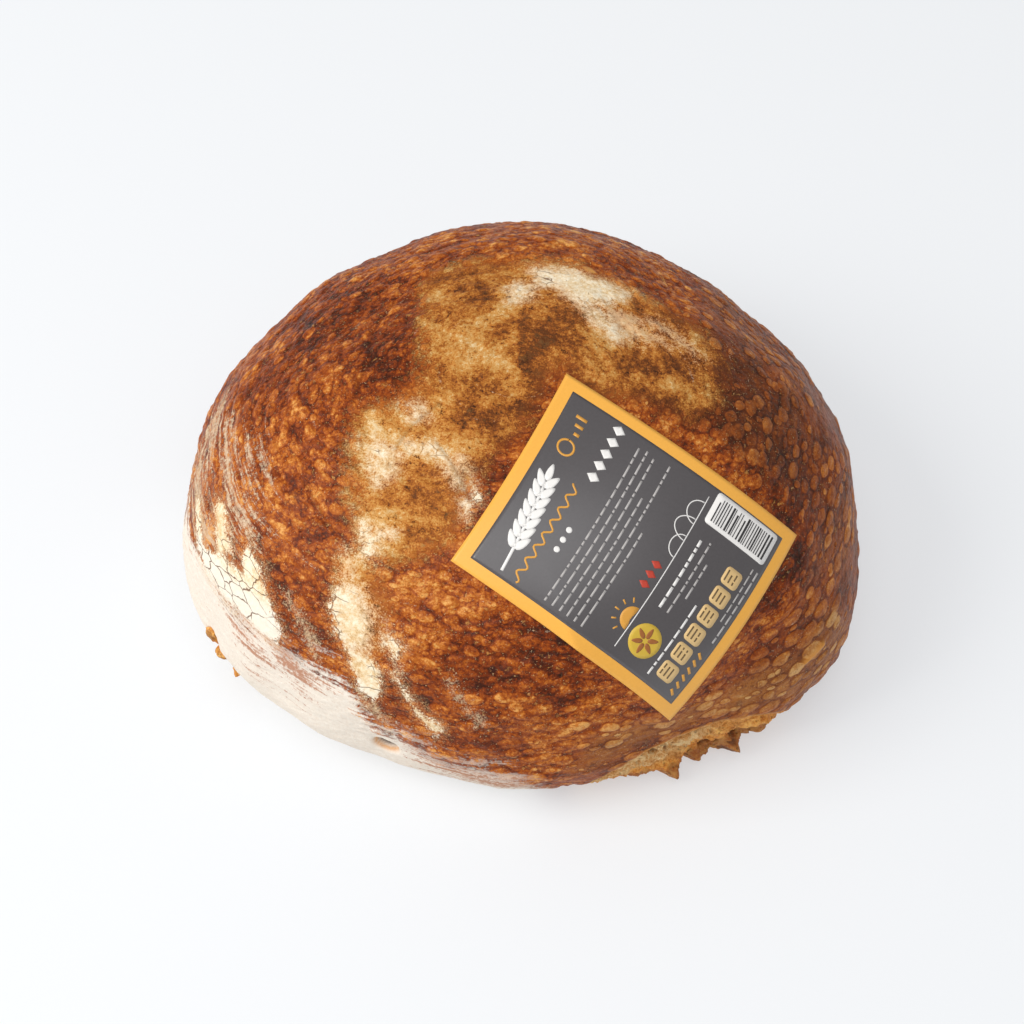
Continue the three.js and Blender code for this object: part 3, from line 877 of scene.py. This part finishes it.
def crust_material():
    g = Graph("baked_crust")
    flow = g.attribute("flow", "Vector")
    broad = g.noise(26.0, 2.0, 0.5, flow)
    patchy = g.noise(11.0, 3.0, 0.6, flow)
    mottle = g.noise(4.6, 5.0, 0.68, flow)
    spots = g.noise(1.9, 3.0, 0.6, flow)
    fine = g.noise(1.2, 4.0, 0.7)
    grain = g.noise(0.45, 2.0, 0.6)
    stretched = g.scaled(flow, (1.0 / (2.0 * MM), 1.0 / (24.0 * MM), 1.0 / (24.0 * MM)))
    drawn = g.noise(1.0 / MM, 5.0, 0.66, stretched)
    zone = {name: g.attribute(name) for name, _ in ZONES}

    def cover(name, low, high, rough=1.6):
        """A zone's cover, its edge broken by the mottle."""
        return g.step(g.add(zone[name], (mottle, rough), -0.5 * rough), low, high)

    dark = cover("dark", -0.6, 0.7)
    plain = cover("plain", -0.3, 0.3, 0.8)
    shade = g.step(zone["shade"], -0.9, 0.9)
    lump = g.attribute("lump")
    calm = g.attribute("calm")

    # Blisters: paler tops and darker rings, their edges a little ragged
    blister = g.add(g.attribute("blister"), (fine, 0.9), (spots, 0.5), -0.7)
    top = g.step(blister, 0.0, 0.25)
    ring = g.times(g.step(blister, -0.95, -0.4), g.step(blister, 0.14, -0.12))
    tone = g.attribute("tone")

    # How dark the bake is: 0 pale gold, 1 nearly black. The shade zone on the right side adds painted shade
    # here: a little darker, and cooler in colour.
    bake = g.add((broad, 0.6), (patchy, 0.5), (mottle, 0.95), (spots, 0.7), (fine, 1.0), (drawn, 0.3),
                 (lump, -0.2), -1.53)
    bake = g.add(bake, (g.times(g.add(bake, -0.5), calm), -0.55))
    bake = g.add(bake, (dark, 0.12), (shade, 0.03), (plain, -0.15))
    lighter = g.times(top, g.add((tone, 0.17), (calm, 0.07), 0.01))
    bake = g.add(bake, (lighter, -1.0), g.times(ring, g.add((calm, 0.03), 0.08)))
    warm = g.ramp(bake, (0.05, "#e6a85c"), (0.25, "#c27028"), (0.42, "#9c4912"), (0.58, "#762e0b"),
                  (0.76, "#4a1a08"), (0.95, "#260e08"))
    cool = g.ramp(bake, (0.05, "#d2a468"), (0.25, "#ad7034"), (0.42, "#8d4f20"), (0.58, "#673313"),
                  (0.76, "#431e0d"), (0.95, "#25110a"))
    # Painted shade: the shade zone on the right side leans the colour to the cooler ramp; dark and smooth
    # zones and random patches do so too
    cool_tone_and_shade = g.step(g.add((shade, 0.45), (dark, 0.15), (plain, 0.2), (patchy, 0.9), -0.45), 0.1, 0.85)
    colour = g.mix(cool_tone_and_shade, warm, cool)

    # Purple-brown stains, golden flecks, and fine pale and dark grains
    stain = g.step(g.add((patchy, 0.6), (spots, 0.5), (fine, 0.3)), 0.79, 0.9)
    colour = g.over(colour, stain, 0.55, "#4e2420")
    fleck = g.step(g.add((spots, 0.7), (fine, 0.5), (mottle, -0.2)), 0.6, 0.7)
    colour = g.mix(g.times(fleck, g.add((calm, -0.35), 0.6)), colour, "#dd9a4c")
    pale_grain = g.step(g.add(grain, (fine, 0.4)), 0.84, 0.94)
    colour = g.over(colour, pale_grain, 0.5, "#f0cb94")
    dark_grain = g.step(g.add(grain, (mottle, 0.3)), 0.55, 0.44)
    colour = g.over(colour, dark_grain, 0.5, "#38140a")

    # Thin golden flour, rubbed darker in places, with dark pinpricks
    dust = g.step(g.add(zone["dust"], (mottle, 1.2), (grain, 0.8), (broad, 1.2), -1.6), -0.35, 0.4)
    tan = g.add((patchy, 0.8), (broad, 0.6), (mottle, 0.4), (fine, 0.55), (grain, 0.4), (spots, 0.35),
                (dark, -0.12), (zone["flour"], 0.13), -0.98)
    dusted = g.ramp(tan, (0.26, "#4c2a14"), (0.36, "#85491b"), (0.45, "#b26c28"), (0.54, "#cc8d42"),
                    (0.65, "#dcab66"), (0.78, "#f1d6a6"))
    colour = g.over(colour, dust, 0.88, dusted)
    pricks = g.times(g.step(g.add((spots, 0.8), (grain, 0.5)), 0.6, 0.5), g.step(mottle, 0.5, 0.42))
    colour = g.over(colour, g.times(pricks, dust), 0.8, "#38190c")

    # Pale streaks drawn round the left side, dry and broken
    within = g.math("MINIMUM", zone["streaks"], 0.2)
    streak = g.step(g.add(within, (drawn, 5.4), (fine, 2.0), (grain, 1.0), -4.3), -0.2, 0.6)
    dry = g.mix(g.add((fine, 1.4), -0.25), "#a8713c", "#fbeccf")
    colour = g.over(colour, streak, 0.85, dry)

    # The floured flank, scratched through to brown
    flank = g.add(zone["flank"], (drawn, 2.2), (fine, 1.2), (zone["scratched"], -0.4), -1.75)
    flank = g.step(flank, -0.2, 0.3)
    scratch = g.step(g.add(drawn, (fine, 0.5), (zone["scratched"], 0.16)), 0.74, 0.86)
    chalk = g.mix(g.add((fine, 0.7), (grain, 0.4)), "#dccab4", "#fffaf0")
    white = g.mix(g.times(scratch, 0.8), chalk, "#b0683a")
    colour = g.over(colour, flank, 0.95, white)

    # The halo round thick flour, and thinner flour
    soft = g.step(g.add(zone["flour"], (mottle, 1.1), (grain, 1.1), -1.1), -0.3, 0.3)
    colour = g.over(colour, soft, 0.7, g.mix(fine, "#c98c4c", "#f0d3a2"))
    thin = g.step(g.add(zone["feather"], (mottle, 1.0), (fine, 0.8), (grain, 1.2), -1.5), -0.15, 0.4)
    colour = g.over(colour, thin, 0.66, g.mix(fine, "#d39d60", "#f6e2c0"))

    # Thick flour: its edge is crisp and it is cracked, but seldom and softly so in the tan zone on the crown
    heap = g.add(zone["flour"], (mottle, 0.6), (fine, 0.4), (grain, 0.35), -0.65)
    crown = g.step(zone["dust"], -0.2, 0.3)
    crisp = g.times(g.step(heap, -0.04, 0.12), g.add((crown, -1.0), 1.0))
    thick = g.add(crisp, (g.step(heap, -0.22, 0.4), crown))
    crack = g.step(g.cells(4.2, g.warp(flow, 3.0, 1.1), "DISTANCE_TO_EDGE"), 0.008, 0.036, 1.0, 0.0)
    crack = g.times(crack, g.step(g.add(patchy, (mottle, 0.4), (crown, -0.13)), 0.6, 0.7))
    powdery = g.add((fine, 0.45), (mottle, 0.35), (patchy, 0.3), (grain, 0.15), -0.12)
    cream = g.ramp(powdery, (0.34, "#c4925a"), (0.44, "#e6c898"), (0.57, "#f9ebd0"))
    cream = g.mix(g.step(zone["flank"], -1.0, -0.5), cream, g.mix(fine, "#e9dcc4", "#fbf6ea"))
    colour = g.mix(thick, colour, g.mix(g.times(crack, 0.85), cream, "#6b3c1a"))

    # Painted shade in the lines pressed in and inside the burst hollows, painted highlight along the torn
    # lips, seams and rims, and the underside
    colour = g.mix(g.attribute("pressed"), colour, "#431f0e")
    # Painted highlight in amber along the lips, rims and seams
    colour = g.over(colour, g.attribute("lip"), 0.85, g.mix(fine, "#c8781f", "#f3b45c"))
    under = g.attribute("under")
    bottom = g.ramp(mottle, (0.35, "#6b3f22"), (0.5, "#a9774a"), (0.66, "#e0cbb0"))
    colour = g.over(colour, under, 0.85, bottom)

    floured = g.most(g.most(thick, flank), g.most(under, streak))
    powder = g.most(floured, g.times(dust, 0.7))
    g.shader.inputs["Specular IOR Level"].default_value = 0.15
    height = g.add((fine, 0.24), (spots, 0.2), (grain, 0.06), (g.times(crack, thick), -0.2))
    g.bump(height)
    return g.finish(colour, g.add((powder, 0.36), (fine, 0.4), 0.2))


def crumb_material():
    g = Graph("torn_crumb")
    toasted = g.attribute("toasted")
    pit = g.attribute("pit")
    mottle = g.noise(3.6, 5.0, 0.65)
    fine = g.noise(0.9, 4.0, 0.65)
    # The crumb's and the toast's colours run paler than their own: partly their own colour, partly painted
    # light where front light reaches into the tear
    crumb = g.ramp(g.add((mottle, 0.6), (fine, 0.4)), (0.34, "#ab6c2a"), (0.46, "#d99c54"), (0.58, "#f0cd92"))
    toast = g.add((mottle, 0.55), (fine, 0.45))
    toast = g.ramp(toast, (0.34, "#b2601a"), (0.46, "#e08c26"), (0.6, "#ffc05e"))
    burnt = g.step(g.add(toasted, (mottle, 0.8)), 0.95, 1.35)
    share = g.step(g.add(toasted, (mottle, 0.9), -0.45), 0.15, 0.6)
    colour = g.mix(share, crumb, toast)
    colour = g.over(colour, burnt, 0.6, "#7a3410")
    # Painted shade in the pits and in small unmodelled pores
    pore = g.times(g.step(g.cells(1.6), 0.32, 0.12), g.step(mottle, 0.44, 0.56))
    colour = g.over(colour, g.most(pit, g.times(pore, 0.6)), 0.75, "#5e3413")
    g.bump(g.add((mottle, 0.7), (fine, 0.35), (pore, -0.35)))
    return g.finish(colour, g.add((share, -0.18), 0.72))


def ink_material(name, colour, roughness, grain=0.0, gloss=0.5):
    """A printed or paper surface, with a slight grain in its tone."""
    g = Graph(name)
    g.shader.inputs["Specular IOR Level"].default_value = gloss
    lighter = [min(1.0, c * (1.0 + grain) + grain * 0.02) for c in linear(colour)[:3]] + [1.0]
    if grain:
        colour = g.mix(g.noise(0.7, 2.0, 0.5), colour, lighter)
    return g.finish(colour, roughness)


class Print:
    """Flat shapes in label millimetres, made into one thin closed plate that lies on the paper."""

    def __init__(self, name):
        self.name = name
        self.places = []
        self.faces = []

    def patch(self, outline, rings=2):
        """A shape that its middle sees all of, filled in rings."""
        outline = np.array(outline, float)
        middle = outline.mean(0)
        count = len(outline)
        first = len(self.places)
        for ring in range(rings):
            self.places.extend((middle + (outline - middle) * (1.0 - ring / rings)).tolist())
        self.places.append(middle.tolist())
        for ring in range(rings):
            for i in range(count):
                a = first + ring * count + i
                b = first + ring * count + (i + 1) % count
                if ring < rings - 1:
                    self.faces.append([a, b, b + count, a + count])
                else:
                    self.faces.append([a, b, first + rings * count])

    def stroke(self, line, width):
        """A line of a width, in pieces no longer than the curve of the paper allows."""
        line = np.array(line, float)
        fine = [line[0]]
        for a, b in zip(line[:-1], line[1:]):
            pieces = max(1, int(math.ceil(np.linalg.norm(b - a) / 1.6)))
            fine.extend(a + (b - a) * (k + 1) / pieces for k in range(pieces))
        fine = np.array(fine)
        ahead = np.gradient(fine, axis=0)
        ahead /= np.linalg.norm(ahead, axis=1, keepdims=True)
        beside = np.stack([-ahead[:, 1], ahead[:, 0]], -1) * width / 2.0
        first = len(self.places)
        for place, off in zip(fine, beside):
            self.places.extend([(place - off).tolist(), (place + off).tolist()])
        for i in range(len(fine) - 1):
            a = first + 2 * i
            self.faces.append([a, a + 2, a + 3, a + 1])

    def build(self, low, high):
        places = np.array(self.places)
        count = len(places)
        layers = [label_points(places[:, 0], places[:, 1], np.full(count, lift)) for lift in (low, high)]
        edges = dict.fromkeys(edge for face in self.faces for edge in zip(face, face[1:] + face[:1]))
        walls = [[b + count, a + count, a, b] for a, b in edges if (b, a) not in edges]
        lower = [face[::-1] for face in self.faces]
        upper = [[i + count for i in face] for face in self.faces]
        return mesh_object(self.name, np.concatenate(layers), lower + upper + walls)


def rounded(middle, width, height, corner):
    """A rounded rectangle's outline."""
    outline = []
    for k, (sx, sy) in enumerate(((1, 1), (-1, 1), (-1, -1), (1, -1))):
        for step in range(5):
            angle = math.radians(90.0 * k + 22.5 * step)
            outline.append((sx * (width / 2.0 - corner) + corner * math.cos(angle),
                            sy * (height / 2.0 - corner) + corner * math.sin(angle)))
    return split_long(outline, 2.0) + np.array(middle)


def split_long(outline, most):
    """An outline with points added along its long edges."""
    outline = np.array(outline, float)
    finer = []
    for a, b in zip(outline, np.roll(outline, -1, axis=0)):
        pieces = max(1, int(math.ceil(np.linalg.norm(b - a) / most)))
        finer.extend(a + (b - a) * k / pieces for k in range(pieces))
    return np.array(finer)


def turned(outline, middle, degrees):
    c, s = math.cos(math.radians(degrees)), math.sin(math.radians(degrees))
    return np.array(outline) @ np.array([[c, s], [-s, c]]) + np.array(middle)


def ellipse(middle, width, height, count=28):
    angles = 2.0 * math.pi * np.arange(count) / count
    return np.stack([np.cos(angles) * width / 2.0, np.sin(angles) * height / 2.0], -1) + np.array(middle)


def grain_leaf(middle, length, width, turn):
    """A kernel's outline, pointed at its outer end."""
    angles = 2.0 * math.pi * np.arange(14) / 14
    across = np.sin(angles) * width / 2.0 * (1.0 - 0.35 * np.cos(angles))
    return turned(np.stack([np.cos(angles) * length / 2.0, across], -1), middle, turn)


def wheat_ear(sheet, start, end, pairs, length, width, stalk):
    """An ear of grain: a stalk and pairs of kernels up its far part."""
    start, end = np.array(start, float), np.array(end, float)
    along = (end - start) / np.linalg.norm(end - start)
    beside = np.array([-along[1], along[0]])
    turn = math.degrees(math.atan2(along[1], along[0]))
    sheet.stroke([start, end - along * length * 0.8], stalk)
    reach = np.linalg.norm(end - start)
    for k in range(pairs):
        at = start + along * reach * (0.3 + 0.62 * k / max(pairs - 1, 1))
        for side in (-1.0, 1.0):
            sheet.patch(grain_leaf(at + beside * side * width * 0.75, length, width, turn + side * 32.0))
    sheet.patch(grain_leaf(end, length, width * 0.9, turn))


def small_rows(sheet, draw, u_from, u_to, v, height):
    """A row of short bars, as small print looks from afar."""
    u = u_from
    while u < u_to - 0.5:
        end = min(u + 0.8 + 3.2 * draw.random(), u_to)
        sheet.stroke([(u, v + height / 2.0), (end, v + height / 2.0)], height * 0.55)
        u = end + 0.5


def make_label():
    """The paper, its dark field, and a plain design of grain, shapes and rows."""
    u_ticks = np.linspace(-LABEL_WIDTH / 2.0, LABEL_WIDTH / 2.0, 63)
    v_ticks = np.linspace(-LABEL_HEIGHT / 2.0, LABEL_HEIGHT / 2.0, 77)
    top = GLUE_GAP + PAPER
    paper = grid_sheet("label_paper", u_ticks, v_ticks, GLUE_GAP, top)
    paper.data.materials.append(ink_material("amber_paper", "#f0ae45", 0.42, 0.12))
    field_u = np.linspace(-LABEL_WIDTH / 2.0 + BORDER, LABEL_WIDTH / 2.0 - BORDER, 56)
    field_v = np.linspace(-LABEL_HEIGHT / 2.0 + BORDER, LABEL_HEIGHT / 2.0 - BORDER, 70)
    field = grid_sheet("label_field", field_u, field_v, top, top + INK)
    field.data.materials.append(ink_material("charcoal_ink", "#433e3f", 0.38, 0.3, 1.0))

    draw = np.random.default_rng(PRINT_SEED)
    sheets = [Print("print_" + name) for name, _, _, _ in PLATES]
    white, amber, grey, tan, red, mustard, black, upper, leaf = sheets

    # The heading: a bold ear of grain over an amber wave, a ring with bars, and a row of lozenges
    wheat_ear(white, (-25.5, 26.2), (4.0, 29.4), 7, 5.0, 2.1, 0.8)
    wave = np.linspace(-26.0, 5.0, 60)
    amber.stroke(np.stack([wave, 22.0 + 1.0 * np.sin(wave * 1.55)], -1), 0.55)
    ring = ellipse((12.4, 29.2), 4.4, 4.4)
    amber.stroke(np.concatenate([ring, ring[:2]]), 0.6)
    for k in range(3):
        amber.stroke([(17.0 + 2.4 * k, 27.6), (17.0 + 2.4 * k, 29.2 + 0.8 * k)], 0.9)
    for k in range(5):
        white.patch(ellipse((9.6 + 3.8 * k, 19.4), 3.0, 3.8, 4))
    for k in range(3):
        white.patch(ellipse((-12.5 + 3.1 * k, 17.6), 1.7, 1.7, 12))

    # Rows of small print
    for k in range(6):
        small_rows(grey, draw, -25.5, 24.5 - 12.0 * (k == 3) - 20.0 * (k == 5), 12.2 - 2.35 * k, 1.05)

    # Hills and a rising half disc on a thin line
    white.stroke([(-24.5, -9.8), (24.0, -9.8)], 0.28)
    half_turn = np.linspace(0.0, math.pi, 19)
    amber.patch(np.stack([-16.0 + 3.4 * np.cos(half_turn), -9.4 + 3.4 * np.sin(half_turn)], -1))
    for k in range(5):
        ray = math.radians(30.0 + 30.0 * k)
        spoke = np.array([math.cos(ray), math.sin(ray)])
        amber.stroke([spoke * 4.4 + (-16.0, -9.4), spoke * 5.8 + (-16.0, -9.4)], 0.45)
    for k in range(3):
        red.patch(ellipse((-6.4 + 3.1 * k, -6.8), 2.3, 3.6, 4))
    for k, rise in enumerate((3.0, 4.6, 3.6)):
        arch = np.stack([7.6 + 5.4 * k + 3.4 * np.cos(half_turn), -9.6 + rise * np.sin(half_turn)], -1)
        white.stroke(arch, 0.3)

    # Lower rows, the round seal, the tiles, the striped panel and a band of bars
    small_rows(white, draw, -9.0, 12.5, -14.6, 1.5)
    small_rows(grey, draw, -9.0, 13.5, -17.1, 1.05)
    small_rows(grey, draw, -3.0, 8.0, -19.3, 1.05)
    small_rows(white, draw, -25.0, -2.0, -23.0, 1.15)
    mustard.patch(ellipse((-18.6, -16.0), 9.6, 9.6), 4)
    for k in range(6):
        tan.patch(rounded((9.2 - 6.1 * k, -27.0), 5.2, 5.6, 1.2))
    white.patch(rounded((22.2, -22.4), 9.6, 21.4, 1.0), 4)
    v = -31.6
    while v < -13.2:
        bar = 0.22 + 0.5 * draw.random() ** 2
        black.stroke([(18.6, v), (25.8 - 1.2 * (draw.random() > 0.8), v)], bar)
        v += bar + 0.3 + 0.35 * draw.random()
    for k in range(6):
        amber.stroke([(-25.4 + 2.4 * k, -32.9), (-24.2 + 2.4 * k, -31.3)], 0.8)
    small_rows(grey, draw, -8.0, 15.0, -33.4, 1.0)
    small_rows(grey, draw, -2.0, 15.0, -31.6, 0.8)

    # Rows on the tiles, and the seal's petals
    for k in range(6):
        for row in range(3):
            small_rows(upper, draw, 7.6 - 6.1 * k, 10.8 - 6.1 * k, -25.6 - 1.4 * row, 0.8)
    for k in range(6):
        turn = math.radians(60.0 * k)
        petal = (-18.6 + 2.3 * math.cos(turn), -16.0 + 2.3 * math.sin(turn))
        leaf.patch(grain_leaf(petal, 3.2, 1.3, 60.0 * k))

    pieces = [paper, field]
    for sheet, (_, ink, colour, layer) in zip(sheets, PLATES):
        low = top + INK * layer
        piece = sheet.build(low, low + INK)
        piece.data.materials.append(ink_material(ink, colour, 0.45))
        pieces.append(piece)
    return pieces


def grid_sheet(name, u_ticks, v_ticks, low, high):
    """A closed curved sheet between two lifts above the crust."""
    u, v = np.meshgrid(u_ticks, v_ticks)
    layers = [label_points(u, v, np.full(u.shape, lift)).reshape(-1, 3) for lift in (low, high)]
    rows, columns = u.shape
    index = np.arange(rows * columns).reshape(rows, columns)
    top = np.stack([index[:-1, :-1], index[:-1, 1:], index[1:, 1:], index[1:, :-1]], -1).reshape(-1, 4)
    edge = np.concatenate([index[0, :-1], index[:-1, -1], index[-1, :0:-1], index[:0:-1, 0]])
    after = np.roll(edge, -1)
    count = rows * columns
    sides = np.stack([edge, after, after + count, edge + count], -1)
    faces = np.concatenate([top[:, ::-1], top + count, sides])
    return mesh_object(name, np.concatenate(layers), faces)


# The photograph's camera: metres and degrees
CAMERA_HEIGHT_ANGLE = 52.0
CAMERA_DISTANCE = 0.778
CAMERA_AIM = Vector((-0.0028, -0.0101, 0.032))
CAMERA_VIEW = 22.0

# The studio in metres: half the floor's width, and the lights' places, aims, sizes, powers and colours
FLOOR_REACH = 4.0
LIGHTS = [
    ("key", (-0.85, -0.30, 0.85), (0.0, 0.0, 0.03), 0.7, 9.5, (1.0, 0.985, 0.96)),
    ("top", (0.05, -0.4, 1.4), (0.0, 0.0, 0.0), 1.0, 5.0, (0.98, 0.99, 1.0)),
]
SKY_COLOUR = (0.98, 0.985, 1.0, 1.0)
SKY_STRENGTH = 0.48
FLOOR_GLOW_COLOUR = (0.965, 0.98, 1.0, 1.0)
FLOOR_GLOW = 0.5


def make_camera():
    camera = bpy.data.objects.new("camera", bpy.data.cameras.new("camera"))
    bpy.context.scene.collection.objects.link(camera)
    rise = math.radians(CAMERA_HEIGHT_ANGLE)
    back = Vector((0.0, -math.cos(rise), math.sin(rise)))
    camera.location = CAMERA_AIM + back * CAMERA_DISTANCE
    camera.rotation_euler = back.to_track_quat("Z", "Y").to_euler()
    camera.data.sensor_fit = "HORIZONTAL"
    camera.data.sensor_width = 36.0
    camera.data.lens = 18.0 / math.tan(math.radians(CAMERA_VIEW / 2.0))
    camera.data.clip_start = 0.01
    bpy.context.scene.camera = camera


def add_area_light(name, place, aim, size, power, colour):
    light = bpy.data.lights.new(name, "AREA")
    light.shape = "SQUARE"
    light.size = size
    light.energy = power
    light.color = colour
    holder = bpy.data.objects.new(name, light)
    bpy.context.scene.collection.objects.link(holder)
    holder.location = place
    holder.rotation_euler = (Vector(place) - Vector(aim)).to_track_quat("Z", "Y").to_euler()


def make_studio():
    """A pale translucent floor, lit from the left and a little from below, under an even sky."""
    corners = np.array([(-1, -1, 0), (1, -1, 0), (1, 1, 0), (-1, 1, 0)]) * FLOOR_REACH / MM
    floor = mesh_object("floor", corners, [(0, 1, 2, 3)])
    g = Graph("pale_floor")
    g.shader.inputs["Emission Color"].default_value = FLOOR_GLOW_COLOUR
    g.shader.inputs["Emission Strength"].default_value = FLOOR_GLOW
    g.shader.inputs["Specular IOR Level"].default_value = 0.1
    floor.data.materials.append(g.finish("#adafb1", 0.7))
    for light in LIGHTS:
        add_area_light(*light)
    world = bpy.data.worlds.new("studio")
    world.use_nodes = True
    background = world.node_tree.nodes["Background"]
    background.inputs[0].default_value = SKY_COLOUR
    background.inputs[1].default_value = SKY_STRENGTH
    bpy.context.scene.world = world
    bpy.context.scene.view_settings.view_transform = "Standard"


def dress(piece, node):
    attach(piece, "root")
    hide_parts(node)


def main():
    make_camera()
    make_studio()
    crust_look = crust_material()
    crumb_look = crumb_material()
    pieces = [(piece, crust_look) for piece in make_crust()]
    pieces += [(make_crumb(), crumb_look), (make_curls(), crumb_look)]
    for piece, look in pieces:
        piece.data.materials.append(look)
        dress(piece, "loaf")
    for piece in make_label():
        dress(piece, "label")


main()
